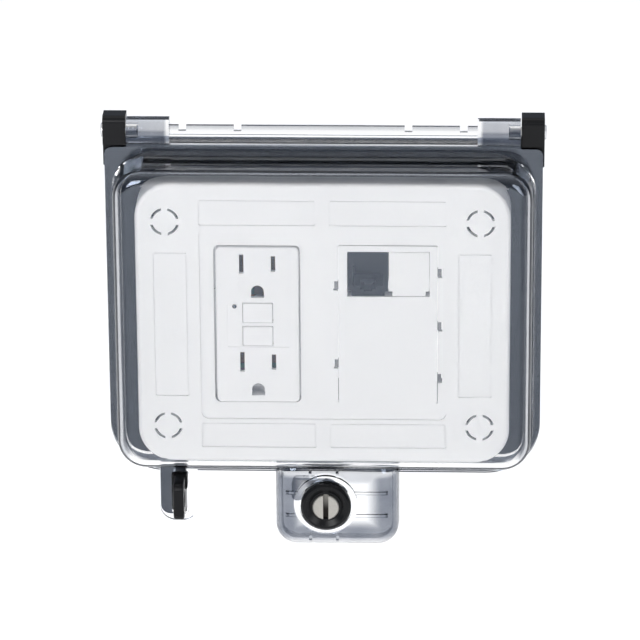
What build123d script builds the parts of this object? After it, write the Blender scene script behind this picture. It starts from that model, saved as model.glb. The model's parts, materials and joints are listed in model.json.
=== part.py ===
from build123d import *
import os

# A duplex ground-fault receptacle and a network jack in a hinged, clear-covered panel port.
# Millimetres.  X runs to the right, Z up, and the object faces -Y.  The origin is the centre of
# the panel opening, on the panel's face.  "Depth" is the distance in front of that face, -Y.

# ---- Driving dimensions ---------------------------------------------------------------------
FLANGE_WIDTH, FLANGE_TOP, FLANGE_FOOT = 175.2, 70.4, -70.0
FOOT_RADIUS, TOP_RADIUS = 22.0, 3.0

GASKET_FRONT = 2.0
FLOOR_FRONT = 5.0
FLANGE_FRONT = 8.0
LID_BACK, LID_FRONT = 8.5, 10.5
PLATE_FRONT, POCKET_FLOOR = 24.0, 23.0
DOME_FRONT = 28.0
NECK_BACK = -12.0

PLATE_WIDTH, PLATE_HEIGHT, PLATE_RADIUS, PLATE_WALL = 150.0, 120.0, 14.5, 2.2
NECK_WIDTH, NECK_HEIGHT, NECK_WALL = 102.0, 79.0, 2.0
PANEL_HOLE_X, PANEL_HOLE_Z, PANEL_HOLE_RADIUS = 63.0, 44.0, 2.75
PLATE_SCREW_X, PLATE_SCREW_Z = 66.0, 22.0

HINGE_Z, HINGE_DEPTH = 76.5, 7.1
PIN_RADIUS, PIN_FIT, PIN_INNER = 2.0, 0.06, 74.5
EAR_INNER, EAR_OUTER, EAR_TOP, EAR_FRONT, EAR_BACK = 79.0, 88.2, 82.5, 9.4, 0.5
KNUCKLE_RADIUS, KNUCKLE_INNER, KNUCKLE_OUTER = 5.6, 61.5, 78.6
TROUGH_INNER_RADIUS = 3.8
TROUGH_NOTCHES = (-56.0, -34.0, 34.0, 56.0)

DOME_WIDTH, DOME_TOP, DOME_FOOT, DOME_RADIUS = 170.0, 66.6, -64.2, 13.0
DOME_WALL, DOME_DRAFT, DOME_EDGE = 2.0, 5.0, 5.5

LOCK_X, LOCK_Z = 0.6, -80.4
HOOD_LEFT, HOOD_RIGHT, HOOD_FOOT = -20.4, 30.4, -101.0
HOOD_FRONT, HOOD_WALL, HOOD_RADIUS, HOOD_DRAFT = 20.0, 2.0, 8.0, 4.0
BEZEL_BACK, BEZEL_FRONT, BEZEL_RADIUS, BARREL_RADIUS = 20.8, 23.9, 10.3, 6.5
CORE_FRONT, CORE_RADIUS, SHAFT_RADIUS = 24.1, 5.4, 4.0
LOCK_FIT = 0.07
CAM_BACK, CAM_FRONT, CAM_REACH, CAM_WIDTH = 2.8, 5.2, 15.0, 9.0

TAB_X, TAB_WIDTH, TAB_FOOT = -60.2, 15.6, -92.3
STAPLE_X, STAPLE_THICKNESS = -59.6, 4.4
STAPLE_TOP, STAPLE_FOOT, STAPLE_FRONT = -71.4, -87.9, 23.0
EYE_Z, EYE_DEPTH, EYE_RADIUS = -79.8, 16.6, 3.9

OUTLET_X, OUTLET_WIDTH, OUTLET_HEIGHT, OUTLET_FRONT = -26.2, 33.3, 66.7, 24.5
STRAP_BACK, STRAP_FRONT, STRAP_WIDTH, STRAP_HEIGHT = 17.3, 18.7, 32.0, 106.7
DEVICE_SCREW_Z = 41.65
BODY_WIDTH, BODY_HEIGHT, BODY_BACK, BODY_WALL = 43.7, 71.0, -10.5, 2.0
SOCKET_HEIGHTS = (26.5, -15.8)
LIGHT_X, LIGHT_Z = -35.5, 8.1
BLADE_OFFSET, GROUND_DROP, SLOT_WIDTH = 6.35, 11.9, 1.8
BUTTON_WIDTH, BUTTON_HEIGHT, BUTTON_FRONT = 12.0, 8.2, 24.7
TEST_Z, RESET_Z = 5.4, -4.6
TERMINAL_Z, TERMINAL_DEPTH = (18.0, -18.0), 3.0
TERMINAL_NOTCH, TERMINAL_NOTCH_SIZE, TERMINAL_WALL = 5.0, 12.8, 1.6
CASE_SCREW_X, CASE_SCREW_Z = 17.0, 31.5
GROUND_SCREW_OFFSET, GROUND_SCREW_RISE = 11.0, 6.0
SPRING_BACK, SPRING_FRONT, SPRING_TURNS = 11.6, 20.0, 6

INSERT_X, INSERT_WIDTH, INSERT_HEIGHT, INSERT_BACK = 26.0, 39.6, 68.0, 20.4
JACK_X, BLANK_X, KEYSTONE_Z = 18.0, 34.5, 22.0
KEYSTONE_WIDTH, KEYSTONE_HEIGHT, KEYSTONE_FRONT = 16.1, 18.8, 23.6
PORT_WIDTH, PORT_HEIGHT, PORT_BACK, PORT_DROP = 11.9, 8.6, 10.0, 0.6
CLEARANCE = 0.2


# ---- Building blocks ------------------------------------------------------------------------
def slab(sketch, back, front, x=0.0, z=0.0, taper=0.0):
    """An outline in X and Z, extruded over a depth range."""
    return extrude(Plane.XZ.offset(back) * Pos(x, z) * sketch, front - back, taper=taper)


def block(left, right, foot, top, back, front):
    """A rectangular block from its six limits."""
    return slab(Rectangle(right - left, top - foot), back, front, (left + right) / 2, (foot + top) / 2)


def rod(radius, back, front, x=0.0, z=0.0):
    """A round bar pointing out of the panel."""
    return slab(Circle(radius), back, front, x, z)


def ring(outer, inner, back, front, x=0.0, z=0.0):
    """A round tube pointing out of the panel."""
    return slab(Circle(outer) - Circle(inner), back, front, x, z)


def cross_rod(radius, left, right, depth, z):
    """A round bar along X."""
    return extrude(Plane.YZ.offset(left) * Pos(-depth, z) * Circle(radius), right - left)


def side_profile(points, left, right):
    """An outline of (depth, z) points, extruded along X."""
    outline = make_face(Polyline([(-depth, z) for depth, z in points], close=True))
    return extrude(Plane.YZ.offset(left) * outline, right - left)


def soften(part, radius):
    """Round the outer edges of a part's foremost face."""
    return fillet(part.faces().sort_by(Axis.Y)[0].edges(), radius)


def both_sides(part):
    """A part and its mirror image across the middle of the object."""
    return part + mirror(part, about=Plane.YZ)


def corners(x, z):
    """The four places at equal distances from the middle."""
    return [(-x, -z), (x, -z), (-x, z), (x, z)]


def screw(head_radius, head_back, head_front, shank_radius, tip, x, z):
    """A pan-head screw with a cross recess, seen from the front."""
    head = soften(rod(head_radius, head_back, head_front, x, z), (head_front - head_back) * 0.35)
    long, narrow = head_radius * 1.1, head_radius * 0.3
    recess = Rectangle(long, narrow) + Rectangle(narrow, long)
    head -= slab(recess, head_front - 0.9, head_front, x, z)
    return head + rod(shank_radius, tip, head_back, x, z)


def flange_outline():
    """The flange outline: wide curves at the foot, small ones beside the hinge."""
    sheet = Pos(0, (FLANGE_TOP + FLANGE_FOOT) / 2) * Rectangle(FLANGE_WIDTH, FLANGE_TOP - FLANGE_FOOT)
    sheet = fillet(sheet.vertices().group_by(Axis.Y)[0], FOOT_RADIUS)
    return fillet(sheet.vertices().group_by(Axis.Y)[-1], TOP_RADIUS)


# ---- Base frame and what seals it -----------------------------------------------------------
SEAL_INSET, SEAL_WIDTH, SEAL_GROOVE_BACK = 3.0, 2.4, 6.6
SEAL_RADIUS = 19.0


def seal_path(width, back, front):
    """The rounded ring that the lid closes on."""
    middle_z = (FLANGE_TOP + FLANGE_FOOT) / 2
    across = FLANGE_WIDTH - 2 * SEAL_INSET
    up = FLANGE_TOP - FLANGE_FOOT - 2 * SEAL_INSET
    outer = RectangleRounded(across + width, up + width, SEAL_RADIUS + width / 2)
    inner = RectangleRounded(across - width, up - width, SEAL_RADIUS - width / 2)
    return slab(outer - inner, back, front, z=middle_z)


def hinge_ear():
    """One upright ear at the flange's top corner, with its pin hole."""
    ear = side_profile(
        [(3.0, 62.0), (FLANGE_FRONT, 62.0), (FLANGE_FRONT, 70.9), (EAR_FRONT, 70.9),
         (EAR_FRONT, EAR_TOP), (EAR_BACK, EAR_TOP), (EAR_BACK, 70.9), (3.0, 70.9)],
        EAR_INNER, EAR_OUTER,
    )
    top_front = ear.edges().filter_by(Axis.X).sort_by(lambda edge: edge.center().Y - edge.center().Z)[0]
    ear = fillet(top_front, 2.6)
    # A thin wall that closes the hinge from behind, beside the ear.
    ear += side_profile(
        [(2.0, 66.0), (4.5, 66.0), (4.5, 70.6), (1.1, 72.0),
         (1.1, 73.4), (0.3, 73.4), (0.3, 70.9), (2.0, 69.9)],
        KNUCKLE_INNER + 0.5, EAR_INNER + 1,
    )
    return ear - cross_rod(PIN_RADIUS + 0.02, EAR_INNER - 1, EAR_OUTER + 1, HINGE_DEPTH, HINGE_Z)


def staple():
    """The lug behind the lid's tab, and the fin with an eye that stands through it."""
    lug_left, lug_right, lug_foot = TAB_X - TAB_WIDTH / 2 + 0.2, STAPLE_X + STAPLE_THICKNESS / 2, -90.2
    lug_width = lug_right - lug_left
    outline = Rectangle(lug_width, FLANGE_FOOT + 2 - lug_foot)
    left_foot = outline.vertices().group_by(Axis.Y)[0].sort_by(Axis.X)[0]
    outline = fillet(left_foot, 4.0)
    lug = slab(outline, 2.4, FLANGE_FRONT, (lug_left + lug_right) / 2, (FLANGE_FOOT + 2 + lug_foot) / 2)
    side = Pos(-(FLANGE_FRONT - 1 + STAPLE_FRONT) / 2, (STAPLE_TOP + STAPLE_FOOT) / 2)
    side *= Rectangle(STAPLE_FRONT - FLANGE_FRONT + 1, STAPLE_TOP - STAPLE_FOOT)
    side = fillet(side.vertices().group_by(Axis.X)[0], 3.5)
    fin = extrude(Plane.YZ.offset(STAPLE_X - STAPLE_THICKNESS / 2) * side, STAPLE_THICKNESS)
    long_edges = fin.faces().sort_by(Axis.X)[0].edges() + fin.faces().sort_by(Axis.X)[-1].edges()
    fin = fillet(long_edges, 1.0)
    root = slab(RectangleRounded(6.2, 6.0, 1.0), FLANGE_FRONT - 1, 12.6, STAPLE_X, STAPLE_TOP - 3.2)
    eye = cross_rod(EYE_RADIUS, STAPLE_X - 6, STAPLE_X + 6, EYE_DEPTH, EYE_Z)
    return lug + root + fin - eye


def neck_inside():
    """The opening that both devices and their cables pass through."""
    return RectangleRounded(NECK_WIDTH - 2 * NECK_WALL, NECK_HEIGHT - 2 * NECK_WALL, 2.5)


def whole_frame():
    """The black moulding, from which the rails and the staple are cut."""
    frame = slab(flange_outline(), GASKET_FRONT, FLANGE_FRONT)
    tray = RectangleRounded(PLATE_WIDTH - 4, PLATE_HEIGHT - 4, PLATE_RADIUS - 2)
    frame -= slab(tray, FLOOR_FRONT, FLANGE_FRONT + 1)
    for x, z in corners(PANEL_HOLE_X, PANEL_HOLE_Z):
        frame += rod(7.0, FLOOR_FRONT - 1, 9.0, x, z)
        frame -= rod(PANEL_HOLE_RADIUS, 0, 10.0, x, z)
    for z in (-DEVICE_SCREW_Z, DEVICE_SCREW_Z):
        frame += rod(4.2, GASKET_FRONT, STRAP_BACK, OUTLET_X, z)
        frame -= rod(1.75, 4.0, STRAP_BACK + 1, OUTLET_X, z)
    frame -= slab(neck_inside(), GASKET_FRONT - 1, STRAP_BACK + 1)
    for x, z in corners(PLATE_SCREW_X, PLATE_SCREW_Z):
        frame -= rod(1.6, 0, FLOOR_FRONT + 1, x, z)
        frame -= rod(3.5, 0, 3.6, x, z)
    frame += both_sides(hinge_ear())
    frame -= seal_path(SEAL_WIDTH, SEAL_GROOVE_BACK, FLANGE_FRONT + 0.4)
    frame += staple()
    # The space behind the lower edge that the lock's cam swings up into.
    return frame - block(LOCK_X - 19, LOCK_X + 8, FLANGE_FOOT - 1, -62.3, GASKET_FRONT - 1, CAM_FRONT + 0.5)


FRAME = whole_frame()
RAIL_SPLIT = 36.9
FAR = 100.0


def top_rail():
    """The frame above the opening, with both hinge ears."""
    return FRAME & block(-FAR, FAR, RAIL_SPLIT, FAR, -1, FAR)


def bottom_rail():
    """The frame below the opening, with the lip that the cam locks behind."""
    return FRAME & block(-FAR, FAR, FLANGE_FOOT, -RAIL_SPLIT, -1, FAR)


def side_rail(side):
    """The frame beside the opening."""
    return FRAME & block(min(0, side * FAR), max(0, side * FAR), -RAIL_SPLIT, RAIL_SPLIT, -1, FAR)


def padlock_staple():
    return FRAME & block(-FAR, 0, -FAR, FLANGE_FOOT, -1, FAR)


def panel_neck():
    """The collar behind the flange that reaches through the panel's cut-out."""
    return slab(RectangleRounded(NECK_WIDTH, NECK_HEIGHT, 4) - neck_inside(), NECK_BACK, GASKET_FRONT)


def panel_gasket():
    sheet = RectangleRounded(168, 134, 18) - RectangleRounded(NECK_WIDTH + 1.6, NECK_HEIGHT + 1.6, 4.8)
    for x, z in corners(PANEL_HOLE_X, PANEL_HOLE_Z):
        sheet -= Pos(x, z) * Circle(PANEL_HOLE_RADIUS)
    return slab(sheet, 0, GASKET_FRONT)


def lid_seal():
    return seal_path(SEAL_WIDTH - 0.4, SEAL_GROOVE_BACK, 8.4)


def hinge_pins():
    pin = cross_rod(PIN_RADIUS, PIN_INNER, EAR_OUTER, HINGE_DEPTH, HINGE_Z)
    head = cross_rod(2.9, EAR_OUTER, EAR_OUTER + 0.7, HINGE_DEPTH, HINGE_Z)
    head = fillet(head.faces().sort_by(Axis.X)[-1].edges(), 0.45)
    return both_sides(pin + head)


# ---- Face plate -----------------------------------------------------------------------------
KNOCKOUT_RADIUS, KNOCKOUT_SLIT = 5.8, 1.0
LABELS = [(-26.2, 48.0, 46.6, 10.8), (26.0, 48.0, 46.8, 10.8), (-26.2, -48.0, 46.6, 10.8),
          (26.0, -48.0, 46.8, 10.8), (-61.0, 0.0, 13.6, 62.0), (61.0, 0.0, 13.6, 62.0)]
LABEL_DEPTH, LABEL_GROOVE = 0.2, 0.5
CLIP_PLACES = [(-1, 16.7), (-1, -17.0), (1, 22.3), (1, -0.6), (1, -23.0)]
NOTCH_REACH, NOTCH_HEIGHT = 2.0, 4.0
CLIP_REACH, CLIP_HEIGHT, CLIP_BITE, CLIP_FRONT = 1.7, 3.4, 1.0, 22.2


def knockout_slits():
    """Four arcs that leave a disc held by four bridges."""
    slit = Circle(KNOCKOUT_RADIUS) - Circle(KNOCKOUT_RADIUS - KNOCKOUT_SLIT)
    return slit - Rectangle(2.6, 20) - Rectangle(20, 2.6)


def face_plate():
    plate = slab(RectangleRounded(PLATE_WIDTH, PLATE_HEIGHT, PLATE_RADIUS), FLANGE_FRONT, PLATE_FRONT)
    plate = soften(plate, 1.6)
    width, height = PLATE_WIDTH - 2 * PLATE_WALL, PLATE_HEIGHT - 2 * PLATE_WALL
    inside = RectangleRounded(width, height, PLATE_RADIUS - PLATE_WALL)
    plate -= slab(inside, FLANGE_FRONT - 1, PLATE_FRONT - PLATE_WALL)
    plate += block(-50.6, 50.6, -42, 42, 20.6, PLATE_FRONT - 1)
    plate -= slab(RectangleRounded(98.8, 82.0, 3.0), POCKET_FLOOR, PLATE_FRONT + 1)
    plate -= slab(RectangleRounded(OUTLET_WIDTH + 1.4, OUTLET_HEIGHT + 1.0, 2.2), 10, 30, OUTLET_X - 0.2)
    plate -= slab(RectangleRounded(INSERT_WIDTH + 0.5, INSERT_HEIGHT + 0.5, 0.8), 10, 30, INSERT_X)
    for x, z, width, height in LABELS:
        label = RectangleRounded(width, height, 0.8)
        edge = label - Rectangle(width - 2 * LABEL_GROOVE, height - 2 * LABEL_GROOVE)
        plate -= slab(label, PLATE_FRONT - LABEL_DEPTH, PLATE_FRONT + 1, x, z)
        plate -= slab(edge, PLATE_FRONT - 3 * LABEL_DEPTH, PLATE_FRONT, x, z)
    for side, z in CLIP_PLACES:
        near = INSERT_X + side * INSERT_WIDTH / 2
        far = near + side * NOTCH_REACH
        foot, top = z - NOTCH_HEIGHT / 2, z + NOTCH_HEIGHT / 2
        plate -= block(min(near, far), max(near, far), foot, top, 18, PLATE_FRONT + 1)
    for x, z in corners(PANEL_HOLE_X, PANEL_HOLE_Z):
        plate -= slab(knockout_slits(), 20, PLATE_FRONT + 1, x, z)
    for x, z in corners(PLATE_SCREW_X, PLATE_SCREW_Z):
        plate += ring(3.6, 1.3, FLOOR_FRONT, PLATE_FRONT - PLATE_WALL, x, z)
    return plate


def plate_screws():
    """Four screws put in from behind, under the gasket."""
    group = Part()
    for x, z in corners(PLATE_SCREW_X, PLATE_SCREW_Z):
        group += rod(3.2, 2.1, 3.6, x, z) + rod(1.25, 3.6, 15.0, x, z)
    return group


# ---- Clear lid ------------------------------------------------------------------------------
def dome(inset, front, edge):
    """The raised body of the lid, drafted towards the front and rounded at its edge."""
    width, height = DOME_WIDTH - 2 * inset, DOME_TOP - DOME_FOOT - 2 * inset
    outline = RectangleRounded(width, height, DOME_RADIUS - inset)
    return soften(slab(outline, LID_BACK, front, z=(DOME_TOP + DOME_FOOT) / 2, taper=DOME_DRAFT), edge)


def hinge_barrel():
    """A round knuckle at each end, and between them an open trough with a notched rim."""
    knuckle = cross_rod(KNUCKLE_RADIUS, KNUCKLE_INNER, KNUCKLE_OUTER, HINGE_DEPTH, HINGE_Z)
    bore = cross_rod(PIN_RADIUS + PIN_FIT, PIN_INNER - 0.6, KNUCKLE_OUTER + 1, HINGE_DEPTH, HINGE_Z)
    trough = cross_rod(KNUCKLE_RADIUS, -KNUCKLE_INNER, KNUCKLE_INNER, HINGE_DEPTH, HINGE_Z)
    trough -= cross_rod(TROUGH_INNER_RADIUS, -KNUCKLE_INNER, KNUCKLE_INNER, HINGE_DEPTH, HINGE_Z)
    # The trough keeps only the half that faces down and forward.
    away = Pos(0, -HINGE_DEPTH, HINGE_Z) * Rot(-45, 0, 0) * Pos(0, 0, 10)
    trough -= away * Box(2 * KNUCKLE_INNER, 30, 20)
    for x in TROUGH_NOTCHES:
        trough -= block(x - 1.5, x + 1.5, HINGE_Z + 1.6, HINGE_Z + 6, HINGE_DEPTH, HINGE_DEPTH + 8)
    return both_sides(knuckle - bore) + trough


def latch_hood():
    """The open-backed housing that carries the lock, with its boss and stiffening ribs."""
    middle_x, middle_z = (HOOD_LEFT + HOOD_RIGHT) / 2, (HOOD_FOOT - 60) / 2
    width, height = HOOD_RIGHT - HOOD_LEFT, -60 - HOOD_FOOT
    outer = slab(RectangleRounded(width, height, 9), LID_BACK, HOOD_FRONT, middle_x, middle_z, HOOD_DRAFT)
    outer = soften(outer, HOOD_RADIUS)
    inner = slab(
        RectangleRounded(width - 2 * HOOD_WALL, height - 2 * HOOD_WALL, 9 - HOOD_WALL),
        LID_BACK - 1, HOOD_FRONT - HOOD_WALL, middle_x, middle_z, HOOD_DRAFT,
    )
    inner = soften(inner, HOOD_RADIUS - HOOD_WALL)
    hood = outer - inner
    rib_back, rib_front, half = HOOD_FRONT - 1, HOOD_FRONT + 0.7, 0.6
    ribs = Part()
    for z in (LOCK_Z - 5.0, LOCK_Z + 5.0):
        ribs += block(HOOD_LEFT + 4.5, HOOD_RIGHT - 4.5, z - half, z + half, rib_back, rib_front)
    for x in (LOCK_X - 6.4, LOCK_X + 4.6):
        ribs += block(x - half, x + half, HOOD_FOOT + 4.6, -66.0, rib_back, rib_front)
    boss = rod(13.0, HOOD_FRONT - 1, BEZEL_BACK + 0.8, LOCK_X, LOCK_Z)
    seat = rod(11.0, HOOD_FRONT, BEZEL_BACK + 1.8, LOCK_X, LOCK_Z)
    hole = rod(BARREL_RADIUS + 0.3, HOOD_FRONT - 5, HOOD_FRONT + 1, LOCK_X, LOCK_Z)
    return hood + ribs + boss - seat - hole


def lid_tab():
    """The rounded tab with a slot that passes over the staple."""
    outline = Rectangle(TAB_WIDTH, -60 - TAB_FOOT)
    outline = fillet(outline.vertices().group_by(Axis.Y)[0], 6.5)
    tab = slab(outline, LID_BACK, LID_FRONT, TAB_X, (TAB_FOOT - 60) / 2)
    slot_foot, slot_top = STAPLE_FOOT - 1.4, STAPLE_TOP + 0.8
    slot = RectangleRounded(7.2, slot_top - slot_foot, 1.5)
    return tab, slab(slot, LID_BACK - 1, LID_FRONT + 1, STAPLE_X, (slot_top + slot_foot) / 2)


def lid_cover():
    tab, slot = lid_tab()
    shell = dome(0, DOME_FRONT, DOME_EDGE)
    web = block(-KNUCKLE_OUTER, KNUCKLE_OUTER, 68, HINGE_Z - 2.5, LID_BACK, LID_FRONT)
    barrel_space = cross_rod(TROUGH_INNER_RADIUS, -KNUCKLE_OUTER, KNUCKLE_OUTER, HINGE_DEPTH, HINGE_Z)
    cover = slab(flange_outline(), LID_BACK, LID_FRONT) + (web - barrel_space) + tab
    cover += latch_hood()
    cover += shell
    cover -= dome(DOME_WALL, DOME_FRONT - DOME_WALL, DOME_EDGE - DOME_WALL)
    cover -= slot
    return cover + hinge_barrel()


# ---- Quarter-turn lock ----------------------------------------------------------------------
def lock_bezel():
    """The black collar and its barrel, which the core turns in."""
    collar = rod(BEZEL_RADIUS, BEZEL_BACK, BEZEL_FRONT, LOCK_X, LOCK_Z)
    collar = chamfer(collar.faces().sort_by(Axis.Y)[0].edges(), 1.0)
    barrel = rod(BARREL_RADIUS, LID_BACK, BEZEL_BACK, LOCK_X, LOCK_Z)
    dish_back, dish_depth = BEZEL_FRONT - 1.3, 1.3
    dish = Plane.XZ.offset(dish_back) * Pos(LOCK_X, LOCK_Z)
    dish = extrude(dish * Circle(6.3), dish_depth + 0.01, taper=-58)
    seat = rod(CORE_RADIUS + LOCK_FIT, 20.9, BEZEL_FRONT + 1, LOCK_X, LOCK_Z)
    bore = rod(SHAFT_RADIUS + LOCK_FIT, LID_BACK - 1, BEZEL_FRONT, LOCK_X, LOCK_Z)
    return collar + barrel - dish - seat - bore


def lock_washer():
    return ring(10.0, BARREL_RADIUS + 0.3, HOOD_FRONT, BEZEL_BACK, LOCK_X, LOCK_Z)


def lock_nut():
    flats = RegularPolygon(8.7, 6, major_radius=False, rotation=30)
    return slab(flats - Circle(BARREL_RADIUS + 0.05), 15.4, HOOD_FRONT - HOOD_WALL, LOCK_X, LOCK_Z)


def lock_core():
    """The slotted metal plug, down to the square that drives the cam."""
    head = rod(CORE_RADIUS, 21.0, CORE_FRONT, LOCK_X, LOCK_Z)
    head = chamfer(head.faces().sort_by(Axis.Y)[0].edges(), 0.4)
    head -= block(LOCK_X - 1.1, LOCK_X + 1.1, LOCK_Z - 7, LOCK_Z + 7, CORE_FRONT - 2.4, CORE_FRONT + 1)
    shaft = rod(SHAFT_RADIUS, CAM_FRONT, 21.0, LOCK_X, LOCK_Z)
    square = slab(Rectangle(5.0, 5.0), CAM_BACK, CAM_FRONT, LOCK_X, LOCK_Z)
    thread_hole = rod(1.65, CAM_BACK - 1, CAM_FRONT + 6, LOCK_X, LOCK_Z)
    return head + shaft + square - thread_hole


def lock_cam():
    """A flat bar that points to the left when the lid is free."""
    bar = Pos(-CAM_REACH / 2, 0) * Rectangle(CAM_REACH, CAM_WIDTH)
    bar = fillet(bar.vertices().group_by(Axis.X)[0], 2.0) + Circle(CAM_WIDTH / 2)
    return slab(bar - Rectangle(5.1, 5.1), CAM_BACK, CAM_FRONT, LOCK_X, LOCK_Z)


def lock_cam_screw():
    return rod(3.8, 1.0, CAM_BACK, LOCK_X, LOCK_Z) + rod(1.6, CAM_BACK, 10.0, LOCK_X, LOCK_Z)


# ---- Ground-fault receptacle ----------------------------------------------------------------
def slot_sketch(socket_z):
    """Two blade slots, the left one taller, and a flat-bottomed ground hole."""
    taller = Pos(-BLADE_OFFSET, socket_z) * Rectangle(SLOT_WIDTH, 8.5)
    shorter = Pos(BLADE_OFFSET, socket_z) * Rectangle(SLOT_WIDTH, 6.6)
    ground = Pos(0, socket_z - GROUND_DROP) * (Circle(2.6) + Pos(0, -1.35) * Rectangle(5.2, 2.7))
    return taller + shorter + ground


def outlet_face():
    face = slab(RectangleRounded(OUTLET_WIDTH, OUTLET_HEIGHT, 2.0), STRAP_FRONT, OUTLET_FRONT, OUTLET_X)
    face = soften(face, 0.8)
    face -= slab(RectangleRounded(28.5, 62, 1.5), STRAP_FRONT - 1, OUTLET_FRONT - 2.0, OUTLET_X)
    button_field = RectangleRounded(25.0, 19.4, 0.6)
    face -= slab(button_field, OUTLET_FRONT - 0.35, OUTLET_FRONT + 1, OUTLET_X + 0.4, 0.3)
    for z in SOCKET_HEIGHTS:
        face -= slab(slot_sketch(z), 10, OUTLET_FRONT + 1, OUTLET_X)
    for z in (TEST_Z, RESET_Z):
        opening = Rectangle(BUTTON_WIDTH + 0.4, BUTTON_HEIGHT + 0.4)
        face -= slab(opening, 10, OUTLET_FRONT + 1, OUTLET_X, z)
    return face - rod(0.95, 10, OUTLET_FRONT + 1, LIGHT_X, LIGHT_Z)


def terminal_block(near, far, z, size):
    """A square block at a terminal's height and depth, between two places across the housing."""
    half = size / 2
    back, front = TERMINAL_DEPTH - half, TERMINAL_DEPTH + half
    return block(min(near, far), max(near, far), z - half, z + half, back, front)


def outlet_body():
    """The rear housing, with a notch in each side for the terminal screws."""
    body = slab(RectangleRounded(BODY_WIDTH, BODY_HEIGHT, 2.5), BODY_BACK, STRAP_BACK, OUTLET_X)
    cavity = RectangleRounded(BODY_WIDTH - 2 * BODY_WALL, BODY_HEIGHT - 2 * BODY_WALL, 1.5)
    body -= slab(cavity, BODY_BACK + BODY_WALL, STRAP_BACK + 1, OUTLET_X)
    for side in (-1, 1):
        for z in TERMINAL_Z:
            edge = OUTLET_X + side * BODY_WIDTH / 2
            floor = edge - side * TERMINAL_NOTCH
            inner = floor - side * TERMINAL_WALL
            body += terminal_block(inner, edge, z, TERMINAL_NOTCH_SIZE + 2 * TERMINAL_WALL)
            body -= terminal_block(floor, edge, z, TERMINAL_NOTCH_SIZE)
            body -= cross_rod(2.0, min(inner, floor) - 1, max(inner, floor) + 1, TERMINAL_DEPTH, z)
    for x, z in corners(CASE_SCREW_X, CASE_SCREW_Z):
        body += rod(2.6, BODY_BACK, STRAP_BACK, OUTLET_X + x, z)
        body -= rod(1.3, BODY_BACK - 1, STRAP_BACK + 1, OUTLET_X + x, z)
    return body


def mounting_strap():
    strap = RectangleRounded(STRAP_WIDTH, STRAP_HEIGHT, 3.0) + Rectangle(BODY_WIDTH - 3, BODY_HEIGHT - 3)
    strap -= RectangleRounded(27.0, 56.0, 1.5)
    for z in (-DEVICE_SCREW_Z, DEVICE_SCREW_Z):
        strap -= Pos(0, z) * SlotOverall(6.6, 4.0)
        ear_z = z + GROUND_SCREW_RISE * (1 if z > 0 else -1)
        for x in (-GROUND_SCREW_OFFSET, GROUND_SCREW_OFFSET):
            strap -= Pos(x, ear_z) * Circle(2.2)
    for x, z in corners(CASE_SCREW_X, CASE_SCREW_Z):
        strap -= Pos(x, z) * Circle(1.3)
    return slab(strap, STRAP_BACK, STRAP_FRONT, OUTLET_X)


def device_screws():
    group = Part()
    for z in (-DEVICE_SCREW_Z, DEVICE_SCREW_Z):
        group += screw(3.4, STRAP_FRONT, 20.2, 1.7, 6.0, OUTLET_X, z)
    return group


def case_screws():
    """Four long screws from the rear of the housing into the strap."""
    group = Part()
    for x, z in corners(CASE_SCREW_X, CASE_SCREW_Z):
        group += rod(2.1, BODY_BACK - 1.2, BODY_BACK, OUTLET_X + x, z)
        group += rod(1.2, BODY_BACK, STRAP_FRONT, OUTLET_X + x, z)
    return group


def terminal_screws(side):
    """Two slotted screws in one side of the housing."""
    floor = OUTLET_X + side * (BODY_WIDTH / 2 - TERMINAL_NOTCH)
    group = Part()
    for z in TERMINAL_Z:
        seat, top, tip = floor + side * 1.3, floor + side * 3.9, floor - side * 3.0
        head = cross_rod(3.9, min(seat, top), max(seat, top), TERMINAL_DEPTH, z)
        slot = Pos(top, -TERMINAL_DEPTH, z) * Box(2.0, 1.1, 9.0)
        group += head - slot + cross_rod(1.9, min(tip, seat), max(tip, seat), TERMINAL_DEPTH, z)
    return group


def terminal_clamps():
    """Pressure plates under the terminal screws."""
    group = Part()
    for side in (-1, 1):
        near = OUTLET_X + side * (BODY_WIDTH / 2 - TERMINAL_NOTCH)
        far = near + side * 1.3
        for z in TERMINAL_Z:
            plate = terminal_block(near, far, z, 10.4)
            group += plate - cross_rod(2.0, min(near, far) - 1, max(near, far) + 1, TERMINAL_DEPTH, z)
    return group


def ground_screw():
    """The green screw on the strap's lower ear."""
    x, z = OUTLET_X + GROUND_SCREW_OFFSET, -DEVICE_SCREW_Z - GROUND_SCREW_RISE
    return screw(3.2, STRAP_FRONT, 20.0, 2.1, 14.0, x, z)


def blade_contacts(offset):
    """A bus bar with a pair of spring jaws behind each slot."""
    x = OUTLET_X + offset
    bar = block(x - 2.6, x + 2.6, -22.0, 31.0, 9.0, 9.9)
    for z in SOCKET_HEIGHTS:
        for side in (-1, 1):
            inner, outer = x + side * 0.85, x + side * 1.55
            bar += block(min(inner, outer), max(inner, outer), z - 3.4, z + 3.4, 9.5, 12.5)
    return bar


def ground_contacts():
    """A strip with a sleeve behind each ground hole."""
    strip = block(OUTLET_X - 2.2, OUTLET_X + 2.2, -32.0, 19.0, 6.2, 7.1)
    for z in SOCKET_HEIGHTS:
        strip += ring(3.0, 2.4, 6.6, 12.5, OUTLET_X, z - GROUND_DROP)
    return strip


def circuit_board():
    board = RectangleRounded(28.0, 60.0, 1.0)
    return slab(board, -5.6, -4.0, OUTLET_X)


def board_parts():
    """Chips and capacitors standing on the board."""
    x = OUTLET_X
    group = block(x - 11, x - 5, 20, 26, -4.0, -2.2) + rod(3.0, -4.0, 3.5, x + 8.5, 24.0)
    group += block(x + 4, x + 12, 10, 15, -4.0, -0.6) + rod(2.4, -4.0, 1.5, x - 9.5, 12.0)
    return group + block(x - 12, x - 7, -27, -20, -4.0, -1.5)


def sense_coils():
    """Two toroids around the supply conductors."""
    x, z = OUTLET_X, -17.0
    return ring(7.0, 3.4, -3.8, -0.4, x, z) + ring(7.0, 3.4, 0.2, 3.6, x, z)


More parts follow.
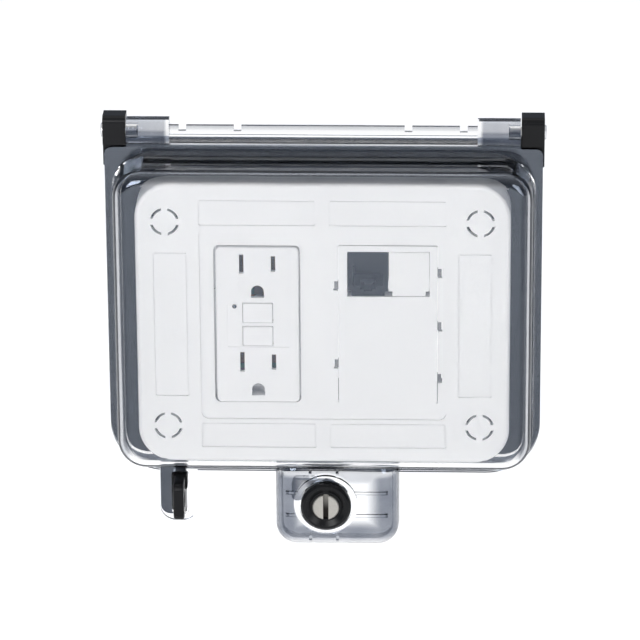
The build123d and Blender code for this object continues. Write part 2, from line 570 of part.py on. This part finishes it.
def trip_solenoid():
    """The coil that releases the contacts, lying across the housing."""
    coil = cross_rod(4.0, OUTLET_X - 11, OUTLET_X + 1, 1.0, 0.0)
    for left in (OUTLET_X - 11.8, OUTLET_X + 1.0):
        coil += block(left, left + 0.8, -4.8, 4.8, -3.8, 5.6)
    return coil - cross_rod(1.6, OUTLET_X - 9, OUTLET_X + 3, 1.0, 0.0)


def solenoid_plunger():
    return cross_rod(1.53, OUTLET_X - 4.0, OUTLET_X + 8.0, 1.0, 0.0)


def button(z):
    """A push button with a stem on its back."""
    cap = slab(RectangleRounded(BUTTON_WIDTH, BUTTON_HEIGHT, 0.5), 20.4, BUTTON_FRONT, OUTLET_X, z)
    cap = soften(cap, 0.4)
    return cap + block(OUTLET_X - 1.5, OUTLET_X + 1.5, z - 1.5, z + 1.5, 11.5, 20.4)


def button_spring(z):
    """A spring around a button's stem: a stack of rings on a thin sleeve, in place of a coil."""
    spring = ring(2.9, 2.5, SPRING_BACK, SPRING_FRONT, OUTLET_X, z)
    pitch = (SPRING_FRONT - SPRING_BACK) / SPRING_TURNS
    for turn in range(SPRING_TURNS):
        middle = SPRING_BACK + (turn + 0.5) * pitch
        spring += ring(3.3, 2.6, middle - 0.3, middle + 0.3, OUTLET_X, z)
    return spring


def status_light():
    """A small light pipe beside the test button."""
    return rod(0.85, 18.0, OUTLET_FRONT, LIGHT_X, LIGHT_Z)


# ---- Network insert -------------------------------------------------------------------------
def keystone_insert():
    """The snap-in plate: a thin face, a rim behind it, and spring clips along both sides."""
    outline = RectangleRounded(INSERT_WIDTH, INSERT_HEIGHT, 0.6)
    plate = slab(outline, INSERT_BACK, POCKET_FLOOR + 0.6, INSERT_X)
    left = JACK_X - KEYSTONE_WIDTH / 2 - CLEARANCE
    right = BLANK_X + KEYSTONE_WIDTH / 2 + CLEARANCE
    top = KEYSTONE_Z + KEYSTONE_HEIGHT / 2 + CLEARANCE
    foot = KEYSTONE_Z - KEYSTONE_HEIGHT / 2 - CLEARANCE
    plate += block(left - 1.4, right + 1.4, foot - 1.6, top + 1.2, 14.0, INSERT_BACK)
    plate -= block(left, right, foot, top, 10, KEYSTONE_FRONT + 1)
    for side, z in CLIP_PLACES:
        near = INSERT_X + side * (INSERT_WIDTH / 2 - CLIP_BITE)
        far = INSERT_X + side * (INSERT_WIDTH / 2 + CLIP_REACH)
        clip_foot, clip_top = z - CLIP_HEIGHT / 2, z + CLIP_HEIGHT / 2
        plate += block(min(near, far), max(near, far), clip_foot, clip_top, INSERT_BACK, CLIP_FRONT)
    return plate


def keystone_block(x, width):
    """The common outside of a snap-in module: a face, a sill below it and a square rear."""
    top, foot, half = KEYSTONE_Z + KEYSTONE_HEIGHT / 2, KEYSTONE_Z - KEYSTONE_HEIGHT / 2, width / 2
    body = block(x - half, x + half, foot + 2.2, top, 6.0, KEYSTONE_FRONT)
    return body + block(x - half + 1.4, x + half - 1.4, foot, foot + 2.4, 12.0, KEYSTONE_FRONT - 0.4)


def rj45_jack():
    """A network jack: a stepped port with a latch notch, open towards the front."""
    jack = keystone_block(JACK_X, KEYSTONE_WIDTH)
    port_z = KEYSTONE_Z - PORT_DROP
    latch = Pos(0, -PORT_HEIGHT / 2 - 0.7) * Rectangle(6.2, 1.5)
    latch += Pos(0, -PORT_HEIGHT / 2 - 1.9) * Rectangle(3.4, 1.2)
    jack -= slab(Rectangle(PORT_WIDTH, PORT_HEIGHT), PORT_BACK, KEYSTONE_FRONT + 1, JACK_X, port_z)
    return jack - slab(latch, PORT_BACK + 6, KEYSTONE_FRONT + 1, JACK_X, port_z)


def rj45_contacts():
    """Eight sprung wires that slope down into the port from its roof."""
    group = Part()
    roof = KEYSTONE_Z - PORT_DROP + PORT_HEIGHT / 2
    wire = [(PORT_BACK, roof - 0.2), (PORT_BACK, roof - 4.0), (PORT_BACK + 0.5, roof - 4.2),
            (21.0, roof - 0.8), (21.0, roof - 0.2)]
    for index in range(8):
        x = JACK_X + (index - 3.5) * 1.1
        group += side_profile(wire, x - 0.2, x + 0.2)
    return group


def jack_rear_cap():
    """The wire cap that presses the cable's conductors into the jack."""
    cap = block(JACK_X - 7.4, JACK_X + 7.4, 15.8, 30.2, -1.0, 6.0)
    for index in range(4):
        x = JACK_X + (index - 1.5) * 3.4
        cap -= block(x - 0.8, x + 0.8, 26.4, 32, -2, 3.6)
        cap -= block(x - 0.8, x + 0.8, 14, 19.6, -2, 3.6)
    return cap


def blank_keystone():
    """A filler for the unused opening."""
    blank = keystone_block(BLANK_X, KEYSTONE_WIDTH)
    return blank - block(BLANK_X - 6.4, BLANK_X + 6.4, 16.0, 29.8, 4, KEYSTONE_FRONT - 2.4)


# ---- Assembly -------------------------------------------------------------------------------
PIECES = {
    "frame_top_rail": top_rail,
    "frame_bottom_rail": bottom_rail,
    "frame_left_rail": lambda: side_rail(-1),
    "frame_right_rail": lambda: side_rail(1),
    "padlock_staple": padlock_staple,
    "panel_neck": panel_neck,
    "panel_gasket": panel_gasket,
    "lid_seal": lid_seal,
    "hinge_pins": hinge_pins,
    "face_plate": face_plate,
    "plate_screws": plate_screws,
    "lid_cover": lid_cover,
    "lock_bezel": lock_bezel,
    "lock_washer": lock_washer,
    "lock_nut": lock_nut,
    "lock_core": lock_core,
    "lock_cam": lock_cam,
    "lock_cam_screw": lock_cam_screw,
    "outlet_face": outlet_face,
    "outlet_body": outlet_body,
    "mounting_strap": mounting_strap,
    "device_screws": device_screws,
    "case_screws": case_screws,
    "hot_terminal_screws": lambda: terminal_screws(1),
    "neutral_terminal_screws": lambda: terminal_screws(-1),
    "ground_screw": ground_screw,
    "terminal_clamps": terminal_clamps,
    "hot_contacts": lambda: blade_contacts(BLADE_OFFSET),
    "neutral_contacts": lambda: blade_contacts(-BLADE_OFFSET),
    "ground_contacts": ground_contacts,
    "circuit_board": circuit_board,
    "board_parts": board_parts,
    "sense_coils": sense_coils,
    "trip_solenoid": trip_solenoid,
    "solenoid_plunger": solenoid_plunger,
    "test_button": lambda: button(TEST_Z),
    "reset_button": lambda: button(RESET_Z),
    "test_spring": lambda: button_spring(TEST_Z),
    "reset_spring": lambda: button_spring(RESET_Z),
    "status_light": status_light,
    "keystone_insert": keystone_insert,
    "rj45_jack": rj45_jack,
    "rj45_contacts": rj45_contacts,
    "jack_rear_cap": jack_rear_cap,
    "blank_keystone": blank_keystone,
}

os.makedirs("parts", exist_ok=True)
for name, make in PIECES.items():
    export_step(make(), f"parts/{name}.step")
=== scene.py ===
import json
import math
from functools import reduce

import bpy
from mathutils import Matrix, Vector


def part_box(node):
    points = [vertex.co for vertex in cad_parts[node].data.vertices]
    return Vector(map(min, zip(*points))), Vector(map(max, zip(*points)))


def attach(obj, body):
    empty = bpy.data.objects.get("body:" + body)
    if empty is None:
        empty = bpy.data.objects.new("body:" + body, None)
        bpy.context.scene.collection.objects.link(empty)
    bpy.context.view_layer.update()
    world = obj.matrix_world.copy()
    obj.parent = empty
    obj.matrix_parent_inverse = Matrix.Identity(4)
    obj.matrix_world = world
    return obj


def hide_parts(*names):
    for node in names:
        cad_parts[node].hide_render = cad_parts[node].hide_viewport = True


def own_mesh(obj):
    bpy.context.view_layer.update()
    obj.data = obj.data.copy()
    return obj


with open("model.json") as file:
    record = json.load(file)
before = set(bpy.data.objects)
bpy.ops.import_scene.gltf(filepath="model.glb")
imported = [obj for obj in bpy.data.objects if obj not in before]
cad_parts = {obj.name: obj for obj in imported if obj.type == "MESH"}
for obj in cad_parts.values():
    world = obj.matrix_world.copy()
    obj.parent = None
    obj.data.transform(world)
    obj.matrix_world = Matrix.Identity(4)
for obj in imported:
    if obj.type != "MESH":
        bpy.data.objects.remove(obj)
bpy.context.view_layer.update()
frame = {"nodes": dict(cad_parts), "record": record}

nodes = frame["nodes"]
joints = {row["name"]: row for row in frame["record"]["behaviour"]["joints"]}
scene = bpy.context.scene

# ---- Camera ---------------------------------------------------------------------------------
CAMERA_AZIMUTH = math.radians(2.08)
CAMERA_ELEVATION = math.radians(21.49)
CAMERA_ROLL = math.radians(0.36)
CAMERA_DISTANCE = 1.8685
SENSOR = 36.0
LENS = 258.7
SHIFT_X, SHIFT_Y = -0.0080, -0.0266


def make_camera():
    """A long lens from above and a little to the right of the panel opening's centre."""
    flat = math.cos(CAMERA_ELEVATION)
    back = Vector((
        math.sin(CAMERA_AZIMUTH) * flat,
        -math.cos(CAMERA_AZIMUTH) * flat,
        math.sin(CAMERA_ELEVATION),
    ))
    level = Vector((math.cos(CAMERA_AZIMUTH), math.sin(CAMERA_AZIMUTH), 0))
    upright = back.cross(level)
    right = level * math.cos(CAMERA_ROLL) - upright * math.sin(CAMERA_ROLL)
    up = level * math.sin(CAMERA_ROLL) + upright * math.cos(CAMERA_ROLL)
    data = bpy.data.cameras.new("camera")
    data.sensor_width = SENSOR
    data.lens = LENS
    data.shift_x, data.shift_y = SHIFT_X, SHIFT_Y
    data.clip_start, data.clip_end = 0.05, 50.0
    camera = bpy.data.objects.new("camera", data)
    turn = Matrix((right, up, back)).transposed().to_4x4()
    camera.matrix_world = Matrix.Translation(back * CAMERA_DISTANCE) @ turn
    scene.collection.objects.link(camera)
    scene.camera = camera


# ---- Materials ------------------------------------------------------------------------------
class Shader:
    """A Principled material with a few helpers for procedural detail in the row frame."""

    def __init__(self, name):
        self.material = bpy.data.materials.new(name)
        self.material.use_nodes = True
        self.tree = self.material.node_tree
        self.bsdf = self.tree.nodes["Principled BSDF"]
        coordinates = self.tree.nodes.new("ShaderNodeTexCoord")
        self.place = coordinates.outputs["Object"]

    def set(self, **values):
        for label, value in values.items():
            self.bsdf.inputs[label.replace("_", " ")].default_value = value
        return self

    def node(self, kind, **inputs):
        made = self.tree.nodes.new(kind)
        for label, value in inputs.items():
            socket = made.inputs[label.replace("_", " ")]
            if hasattr(value, "is_output"):
                self.tree.links.new(value, socket)
            else:
                socket.default_value = value
        return made

    def link(self, output, label):
        self.tree.links.new(output, self.bsdf.inputs[label])

    def noise(self, scale, detail=3.0, roughness=0.5, stretch=None):
        """Noise with `scale` cells per metre, stretched along an axis when asked."""
        vector = self.place
        if stretch:
            mapping = self.node("ShaderNodeMapping", Vector=self.place)
            mapping.inputs["Scale"].default_value = stretch
            vector = mapping.outputs["Vector"]
        made = self.node(
            "ShaderNodeTexNoise", Vector=vector, Scale=scale, Detail=detail, Roughness=roughness)
        return made.outputs["Fac"]

    def ramp(self, factor, stops):
        """A colour ramp from (position, colour) pairs."""
        made = self.node("ShaderNodeValToRGB", Fac=factor)
        elements = made.color_ramp.elements
        while len(elements) < len(stops):
            elements.new(0.5)
        for element, (position, colour) in zip(elements, stops):
            element.position = position
            element.color = colour if len(colour) == 4 else (*colour, 1.0)
        return made.outputs["Color"]

    def vary(self, label, factor, low, high):
        """Drives one socket between two values."""
        made = self.node("ShaderNodeMapRange", Value=factor)
        made.inputs["To Min"].default_value = low
        made.inputs["To Max"].default_value = high
        self.link(made.outputs["Result"], label)

    def axis(self, letter):
        """One object coordinate, in metres."""
        return self.node("ShaderNodeSeparateXYZ", Vector=self.place).outputs[letter]

    def math(self, operation, first, second=0.0):
        made = self.tree.nodes.new("ShaderNodeMath")
        made.operation = operation
        for socket, value in zip(made.inputs, (first, second)):
            if hasattr(value, "is_output"):
                self.tree.links.new(value, socket)
            else:
                socket.default_value = value
        return made.outputs["Value"]

    def product(self, *factors):
        return reduce(lambda first, second: self.math("MULTIPLY", first, second), factors)

    def largest(self, *factors):
        return reduce(lambda first, second: self.math("MAXIMUM", first, second), factors)

    def distance(self, value, centre):
        return self.math("ABSOLUTE", self.math("SUBTRACT", value, centre))

    def fade(self, value, start, end):
        """Rises smoothly from 0 at `start` to 1 at `end`; `start` may be the larger."""
        made = self.tree.nodes.new("ShaderNodeMapRange")
        made.interpolation_type = "SMOOTHSTEP"
        self.tree.links.new(value, made.inputs["Value"])
        low, high = (start, end) if start < end else (end, start)
        made.inputs["From Min"].default_value = low
        made.inputs["From Max"].default_value = high
        made.inputs["To Min"].default_value = 0.0 if start < end else 1.0
        made.inputs["To Max"].default_value = 1.0 if start < end else 0.0
        return made.outputs["Result"]

    def blend(self, factor, below, above):
        """A colour between two colours."""
        made = self.tree.nodes.new("ShaderNodeMix")
        made.data_type = "RGBA"
        self.tree.links.new(factor, made.inputs["Factor"])
        for socket, value in ((made.inputs[6], below), (made.inputs[7], above)):
            if hasattr(value, "is_output"):
                self.tree.links.new(value, socket)
            else:
                socket.default_value = (*value, 1.0)
        return made.outputs[2]

    def bump(self, height, strength, distance):
        made = self.node("ShaderNodeBump", Height=height, Strength=strength, Distance=distance)
        self.link(made.outputs["Normal"], "Normal")


def moulded_plastic(name, colour, drift, roughness, grain, depth, gloss=0.5):
    """Moulded plastic: slow colour drift, uneven gloss and a fine grain."""
    shader = Shader(name).set(IOR=1.5, Specular_IOR_Level=gloss)
    slow = shader.noise(18.0, 2.0)
    dark = tuple(channel * (1 - drift) for channel in colour)
    light = tuple(min(1.0, channel * (1 + drift)) for channel in colour)
    shader.link(shader.ramp(slow, [(0.3, dark), (0.7, light)]), "Base Color")
    shader.vary("Roughness", shader.noise(120.0, 4.0), roughness * 0.85, roughness * 1.15)
    shader.bump(shader.noise(grain, 4.0, 0.6), 0.35, depth)
    return shader.material


# Places on the object that the materials follow, in metres.
LOCK_X, _, LOCK_Z = joints["lock_turn"]["pos_m"]
HOOD_X = 0.005
INSERT_X, INSERT_HALF = 0.026, 0.0198

# The clear plastic's own colour and a blue-grey that paints shade into it, and where it turns from one to
# the other.
# Each pair says where the painted shade starts and where it is full.
CLEAR = (0.985, 0.985, 0.985)
SHADE_TINT = (0.135, 0.150, 0.185)
HOOD_SIDES, HOOD_OUTLINE = (0.0105, 0.0185), (0.0262, 0.0250)
HOOD_TOP, HOOD_FOOT, HOOD_UNDERSIDE = (-0.0660, -0.0700), (-0.0865, -0.0920), (-0.1010, -0.0955)
ROOT_TOP, ROOT_FOOT = (-0.0615, -0.0650), (-0.0725, -0.0700)
BOSS_RADII = (0.0128, 0.0134)
KNUCKLE_END, KNUCKLE_TOP, KNUCKLE_FOOT = (0.0622, 0.0640), (0.0788, 0.0772), (0.0702, 0.0712)
WALL_SIDE, WALL_TOP, WALL_BACK = (0.0785, 0.0800), (0.0610, 0.0625), (-0.0106, -0.0112)
WALL_LOW_END, WALL_HIGH_END = (-0.0660, -0.0560), (0.0685, 0.0675)
RIM_TOP, RIM_END = (0.0782, 0.0790), (0.0622, 0.0612)


def hood_shade(shader, x, z):
    """Painted shade on the latch hood's sides, foot and root, but not on its boss or its outer edge."""
    off_middle = shader.distance(x, HOOD_X)
    foot = shader.product(shader.fade(z, *HOOD_FOOT), 0.95)
    face = shader.largest(shader.fade(off_middle, *HOOD_SIDES), foot)
    face = shader.product(face, shader.fade(z, *HOOD_TOP))
    root = shader.product(shader.fade(z, *ROOT_TOP), shader.fade(z, *ROOT_FOOT), 0.5)
    within = shader.product(shader.fade(off_middle, *HOOD_OUTLINE), shader.fade(z, *HOOD_UNDERSIDE))
    across = shader.math("POWER", shader.math("SUBTRACT", x, LOCK_X), 2.0)
    up = shader.math("POWER", shader.math("SUBTRACT", z, LOCK_Z), 2.0)
    near, far = BOSS_RADII
    off_boss = shader.fade(shader.math("ADD", across, up), near ** 2, far ** 2)
    return shader.product(shader.largest(face, root), within, off_boss)


# Painted shade on the hinge knuckles below their top.
def knuckle_shade(shader, off_centre, z):
    return shader.product(
        shader.fade(off_centre, *KNUCKLE_END), shader.fade(z, *KNUCKLE_TOP), shader.fade(z, *KNUCKLE_FOOT))


def wall_shade(shader, off_centre, y, z):
    """Painted shade on the dome's side and top walls, in front of the flange."""
    wall = shader.largest(shader.fade(off_centre, *WALL_SIDE), shader.fade(z, *WALL_TOP))
    ends = shader.product(shader.fade(z, *WALL_LOW_END), shader.fade(z, *WALL_HIGH_END))
    return shader.product(wall, shader.fade(y, *WALL_BACK), ends)


def rim_shade(shader, off_centre, z):
    """Painted shade on the rim of the trough between the knuckles."""
    return shader.product(shader.fade(z, *RIM_TOP), shader.fade(off_centre, *RIM_END))


def painted_shade_mask(shader):
    """Where shade is painted into the clear plastic's colour: hood, knuckles, and more faintly the walls
    and the rim.
    """
    x, y, z = (shader.axis(letter) for letter in "XYZ")
    off_centre = shader.math("ABSOLUTE", x)
    strong = shader.largest(hood_shade(shader, x, z), knuckle_shade(shader, off_centre, z))
    wall = shader.product(wall_shade(shader, off_centre, y, z), 0.6)
    rim = shader.product(rim_shade(shader, off_centre, z), 0.5)
    # Noise that makes the painted shade uneven.
    uneven_shade = shader.product(shader.noise(90.0, 3.0), 0.3)
    return shader.product(shader.largest(strong, wall, rim), shader.math("ADD", uneven_shade, 0.75))


def clear_polycarbonate(name):
    """Clear moulded plastic with shade painted into its colour in places, flow lines and steps along its
    walls.
    """
    shader = Shader(name).set(Transmission_Weight=1.0, IOR=1.56, Roughness=0.0)
    shader.set(Specular_IOR_Level=0.18)
    shader.set(Specular_Tint=(0.72, 0.82, 1.0, 1.0))
    shader.link(shader.blend(painted_shade_mask(shader), CLEAR, SHADE_TINT), "Base Color")
    flow = shader.noise(14.0, 2.0, 0.4, stretch=(1.0, 1.0, 2.2))
    steps = shader.noise(1.0, 2.0, 0.5, stretch=(14.0, 420.0, 14.0))
    shader.bump(shader.math("ADD", flow, shader.math("MULTIPLY", steps, 0.35)), 0.16, 0.0006)
    return shader.material


def metal(name, colour, roughness, brush=(1.0, 1.0, 1.0), grain=900.0):
    """Metal with a streaked or pitted surface."""
    shader = Shader(name).set(Metallic=1.0)
    streak = shader.noise(grain, 3.0, 0.6, stretch=brush)
    dark = tuple(channel * 0.82 for channel in colour)
    shader.link(shader.ramp(streak, [(0.25, dark), (0.75, colour)]), "Base Color")
    uneven = shader.noise(grain * 0.5, 2.0, 0.5, stretch=brush)
    shader.vary("Roughness", uneven, roughness * 0.75, roughness * 1.3)
    shader.bump(streak, 0.25, 0.00003)
    return shader.material


SLOT_SIDES, SLOT_MOUTH = (0.00125, 0.00105), (-0.0239, -0.0233)
# Painted shade for the lock plug's slot.
SLOT_SHADE = (0.012, 0.010, 0.009)


def lock_plug_metal(name, colour, roughness):
    """Tumbled die-cast metal, with shade painted into the slot that deepens towards its foot."""
    shader = Shader(name).set(Metallic=1.0)
    x, y, z = (shader.axis(letter) for letter in "XYZ")
    pits = shader.noise(1600.0, 3.0, 0.6)
    dark = tuple(channel * 0.82 for channel in colour)
    plain = shader.ramp(pits, [(0.25, dark), (0.75, colour)])
    in_slot = shader.fade(shader.distance(x, LOCK_X), *SLOT_SIDES)
    slot = shader.product(in_slot, shader.fade(y, *SLOT_MOUTH))
    towards_foot = shader.fade(z, LOCK_Z + 0.004, LOCK_Z - 0.002)
    shade_depth = shader.math("ADD", shader.product(towards_foot, 0.5), 0.48)
    shader.link(shader.blend(shader.product(slot, shade_depth), plain, SLOT_SHADE), "Base Color")
    shader.vary("Roughness", shader.noise(800.0, 2.0), roughness * 0.75, roughness * 1.3)
    shader.bump(pits, 0.25, 0.00003)
    return shader.material


WHITE = (0.84, 0.84, 0.842)
# Painted shade on the keystone insert's recessed spring clips.
CLIP_SHADE = (0.22, 0.22, 0.225)


def insert_plastic(name, colour):
    """The plate's white plastic, with shade painted onto the spring clips that stand out past both sides.
    """
    shader = Shader(name).set(IOR=1.5)
    off_middle = shader.distance(shader.axis("X"), INSERT_X)
    clip = shader.fade(off_middle, INSERT_HALF, INSERT_HALF + 0.0001)
    shader.link(shader.blend(clip, colour, CLIP_SHADE), "Base Color")
    shader.vary("Roughness", shader.noise(120.0, 4.0), 0.31, 0.41)
    shader.bump(shader.noise(2200.0, 4.0, 0.6), 0.35, 0.00002)
    return shader.material


def rubber(name):
    shader = Shader(name).set(IOR=1.45)
    shades = [(0.3, (0.012, 0.012, 0.013)), (0.8, (0.03, 0.03, 0.031))]
    shader.link(shader.ramp(shader.noise(400.0, 4.0), shades), "Base Color")
    shader.vary("Roughness", shader.noise(90.0), 0.55, 0.75)
    shader.bump(shader.noise(1500.0, 2.0), 0.4, 0.00008)
    return shader.material


MATERIALS = {
    "black_plastic": moulded_plastic(
        "black_plastic", (0.005, 0.0052, 0.0060), 0.25, 0.26, 1400.0, 0.00004, 0.14),
    "white_plastic": moulded_plastic("white_plastic", WHITE, 0.01, 0.36, 2200.0, 0.00002),
    "clear_plastic": clear_polycarbonate("clear_plastic"),
    "grey_plastic": moulded_plastic(
        "grey_plastic", (0.045, 0.045, 0.05), 0.2, 0.45, 1800.0, 0.00005),
    "dark_plastic": moulded_plastic(
        "dark_plastic", (0.004, 0.005, 0.007), 0.15, 0.4, 1800.0, 0.00003, 0.12),
    "rubber": rubber("rubber"),
    "steel": metal("steel", (0.66, 0.66, 0.67), 0.3),
    "lock_metal": lock_plug_metal("lock_metal", (0.40, 0.385, 0.355), 0.45),
    "brass": metal("brass", (0.24, 0.175, 0.085), 0.5),
    "gold": metal("gold", (0.95, 0.74, 0.38), 0.2),
    "green_metal": moulded_plastic("green_metal", (0.03, 0.26, 0.09), 0.1, 0.3, 900.0, 0.00003),
    "board_green": moulded_plastic("board_green", (0.015, 0.15, 0.06), 0.2, 0.4, 700.0, 0.00005),
    "coil_copper": metal("coil_copper", (0.72, 0.34, 0.18), 0.3, brush=(0.15, 1.0, 1.0)),
}


def dress_cad_nodes():
    """Gives every carried-over node the finished material of its slot."""
    slot_of = {row["node"]: row["material_slot"] for row in frame["record"]["subparts"]}
    for name, node in nodes.items():
        node.data.materials.clear()
        node.data.materials.append(MATERIALS[slot_of[name]])
    nodes["keystone_insert"].data.materials[0] = insert_plastic("insert_plastic", WHITE)


# ---- Button springs -------------------------------------------------------------------------
WIRE_RADIUS, WIRE_SIDES = 0.0003, 10
OPEN_TURNS, CLOSED_TURNS, STEPS_PER_TURN = 6, 1, 32


def spring_rise(turn, length):
    """How far the wire has climbed after some turns: the closed end turns touch, the others are open."""
    closed_pitch = 2 * WIRE_RADIUS
    open_pitch = (length - 2 * CLOSED_TURNS * closed_pitch) / OPEN_TURNS
    first = min(turn, CLOSED_TURNS)
    middle = min(max(turn - CLOSED_TURNS, 0), OPEN_TURNS)
    last = max(turn - CLOSED_TURNS - OPEN_TURNS, 0)
    return (first + last) * closed_pitch + middle * open_pitch


def coil_spring(name, node):
    """A wound spring round a button's stem, built at rest; the mesh does not shorten as the button is
    pressed.
    """
    low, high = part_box(node)
    middle = (low + high) / 2
    radius = (high.x - low.x) / 2 - 1.4 * WIRE_RADIUS
    length = high.y - low.y - 2 * WIRE_RADIUS
    turns = OPEN_TURNS + 2 * CLOSED_TURNS
    vertices, faces = [], []
    for step in range(turns * STEPS_PER_TURN + 1):
        turn = step / STEPS_PER_TURN
        angle = 2 * math.pi * turn
        outward = Vector((math.cos(angle), 0, math.sin(angle)))
        depth = high.y - WIRE_RADIUS - spring_rise(turn, length)
        centre = Vector((middle.x, depth, middle.z)) + radius * outward
        for side in range(WIRE_SIDES):
            around = 2 * math.pi * side / WIRE_SIDES
            offset = math.cos(around) * outward + Vector((0, math.sin(around), 0))
            vertices.append(centre + WIRE_RADIUS * offset)
    for step in range(turns * STEPS_PER_TURN):
        here, there = step * WIRE_SIDES, (step + 1) * WIRE_SIDES
        for side in range(WIRE_SIDES):
            beside = (side + 1) % WIRE_SIDES
            faces.append((here + side, here + beside, there + beside, there + side))
    last = len(vertices) - WIRE_SIDES
    faces.append(tuple(reversed(range(WIRE_SIDES))))
    faces.append(tuple(range(last, last + WIRE_SIDES)))
    mesh = bpy.data.meshes.new(name)
    mesh.from_pydata(vertices, [], faces)
    for polygon in mesh.polygons:
        polygon.use_smooth = len(polygon.vertices) == 4
    mesh.materials.append(MATERIALS["steel"])
    spring = bpy.data.objects.new(name, mesh)
    scene.collection.objects.link(spring)
    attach(spring, "base")
    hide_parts(node)
    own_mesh(spring)


# ---- Floor and light ------------------------------------------------------------------------
FLOOR_Z, FLOOR_HALF = -0.25, 12.0
SKY = [(0.0, (0.8, 0.8, 0.8)), (0.46, (0.34, 0.37, 0.43)), (0.62, (0.22, 0.25, 0.31)),
       (0.8, (0.42, 0.44, 0.48)), (1.0, (0.6, 0.61, 0.63))]


def make_floor():
    corners = [(FLOOR_HALF * x, FLOOR_HALF * y, FLOOR_Z) for x, y in ((-1, -1), (1, -1), (1, 1), (-1, 1))]
    mesh = bpy.data.meshes.new("floor")
    mesh.from_pydata(corners, [], [(0, 1, 2, 3)])
    floor = bpy.data.objects.new("floor", mesh)
    scene.collection.objects.link(floor)
    shader = Shader("floor").set(Roughness=0.9, Base_Color=(0.9, 0.9, 0.9, 1.0))
    shader.set(Emission_Color=(1.0, 1.0, 1.0, 1.0), Emission_Strength=0.30)
    mesh.materials.append(shader.material)


def area_light(name, place, target, width, height, power):
    data = bpy.data.lights.new(name, "AREA")
    data.shape = "RECTANGLE"
    data.size, data.size_y = width, height
    data.energy = power
    lamp = bpy.data.objects.new(name, data)
    lamp.location = place
    lamp.rotation_euler = (Vector(target) - Vector(place)).to_track_quat("-Z", "Y").to_euler()
    scene.collection.objects.link(lamp)


def make_world():
    """A pale studio: white overhead, cooler and darker towards the horizon."""
    world = bpy.data.worlds.new("studio")
    world.use_nodes = True
    tree = world.node_tree
    sky = tree.nodes["Background"]
    sky.inputs["Strength"].default_value = 1.0
    direction = tree.nodes.new("ShaderNodeTexCoord").outputs["Generated"]
    split = tree.nodes.new("ShaderNodeSeparateXYZ")
    tree.links.new(direction, split.inputs["Vector"])
    height = tree.nodes.new("ShaderNodeMapRange")
    height.inputs["From Min"].default_value = -1.0
    tree.links.new(split.outputs["Z"], height.inputs["Value"])
    ramp = tree.nodes.new("ShaderNodeValToRGB")
    tree.links.new(height.outputs["Result"], ramp.inputs["Fac"])
    elements = ramp.color_ramp.elements
    for position, colour in SKY:
        element = elements.new(position)
        element.color = (*colour, 1.0)
    elements.remove(elements[0])
    elements.remove(elements[-1])
    tree.links.new(ramp.outputs["Color"], sky.inputs["Color"])
    scene.world = world


def make_light():
    make_world()
    area_light("key", (-0.9, -2.1, 1.0), (0, 0, 0), 1.2, 1.2, 43.0)
    area_light("fill", (1.4, -2.0, 0.6), (0, 0, 0), 1.0, 1.4, 20.0)
    area_light("top", (0.0, 0.4, 1.7), (0, 0, 0), 2.0, 0.6, 4.0)
    scene.view_settings.view_transform = "Standard"
    scene.view_settings.look = "None"


make_camera()
dress_cad_nodes()
coil_spring("test_button_coil", "test_spring")
coil_spring("reset_button_coil", "reset_spring")
make_floor()
make_light()
